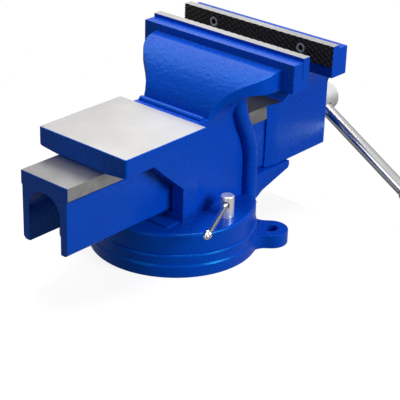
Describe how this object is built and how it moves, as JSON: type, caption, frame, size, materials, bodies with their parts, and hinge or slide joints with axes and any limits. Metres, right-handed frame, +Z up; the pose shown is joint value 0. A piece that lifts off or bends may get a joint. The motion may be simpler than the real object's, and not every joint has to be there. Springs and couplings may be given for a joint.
{
  "type": "bench vise",
  "caption": "Bench vise on a turning base with two bolt lugs: wide jaws with bolted plates, square anvil, boxed slide, screw with a sliding T-bar, and lock screws.",
  "frame": {"origin": "on the swivel axis at the underside of the swivel base, the centre of the two bench bolts", "axes": "+Z up; +Y from the handle towards the anvil, along the slide; +X along the jaws"},
  "size_m": [0.1794, 0.3311, 0.1536],
  "materials": {
    "base_paint": "gloss royal blue enamel on cast iron",
    "body_paint": "gloss royal blue enamel on cast iron, anvil top ground bright",
    "jaw_paint": "gloss royal blue enamel on cast iron, slide top and side strips ground bright",
    "plate_steel": "blackened cross-cut face, ground top edge",
    "socket_screw": "zinc plated",
    "plain_steel": "zinc plated",
    "nut_iron": "as cast, bored and threaded",
    "screw_steel": "bright turned steel",
    "bar_chrome": "polished chrome",
    "spring_steel": "oiled wire"
  },
  "bodies": {
    "base": {"swivel_base": "base_paint"},
    "vise": {"fixed_body": "body_paint", "fixed_jaw_plate": "plate_steel", "fixed_plate_screws": "socket_screw", "main_nut": "nut_iron", "nut_screws": "plain_steel", "pivot_bolt": "plain_steel", "pivot_washer": "plain_steel", "tee_nut_left": "plain_steel", "tee_nut_right": "plain_steel"},
    "slide": {"moving_jaw": "jaw_paint", "moving_jaw_plate": "plate_steel", "moving_plate_screws": "socket_screw"},
    "spindle": {"main_screw": "screw_steel", "thrust_spring": "spring_steel", "thrust_washer": "plain_steel", "split_pin": "plain_steel"},
    "handle": {"handle_bar": "bar_chrome", "handle_knob_far": "bar_chrome", "handle_knob_near": "bar_chrome"},
    "left_lock": {"lock_screw_left": "screw_steel"},
    "right_lock": {"lock_screw_right": "screw_steel"},
    "left_lock_bar": {"lock_bar_left": "bar_chrome"},
    "right_lock_bar": {"lock_bar_right": "bar_chrome"}
  },
  "joints": [
    {"name": "swivel_turn", "type": "hinge", "parent": "base", "child": "vise", "pos_m": [0, 0, 0], "axis": [0, 0, 1], "continuous": true},
    {"name": "jaw_slide", "type": "slide", "parent": "vise", "child": "slide", "axis": [0, 1, 0], "range_m": [-0.1001, 0.02905]},
    {"name": "screw_turn", "type": "hinge", "parent": "slide", "child": "spindle", "pos_m": [0, -0.1809, 0.066], "axis": [0, 1, 0], "range_deg": [-12000, 3480]},
    {"name": "handle_slide", "type": "slide", "parent": "spindle", "child": "handle", "axis": [0.8616, 0, 0.5075], "range_m": [0, 0.096]},
    {"name": "lock_turn_left", "type": "hinge", "parent": "vise", "child": "left_lock", "pos_m": [-0.04979, -0.00418, 0], "axis": [0, 0, 1], "range_deg": [0, 130]},
    {"name": "lock_turn_right", "type": "hinge", "parent": "vise", "child": "right_lock", "pos_m": [0.04979, -0.00418, 0], "axis": [0, 0, 1], "range_deg": [0, 160]},
    {"name": "lock_bar_slide_left", "type": "slide", "parent": "left_lock", "child": "left_lock_bar", "axis": [-0.4305, 0.9026, 0], "range_m": [-0.004, 0]},
    {"name": "lock_bar_slide_right", "type": "slide", "parent": "right_lock", "child": "right_lock_bar", "axis": [0.2079, -0.9781, 0], "range_m": [-0.004, 0]}
  ],
  "couplings": [
    {"joint": "jaw_slide", "follows": "screw_turn", "m_per_rad": 0.00047746}
  ]
}
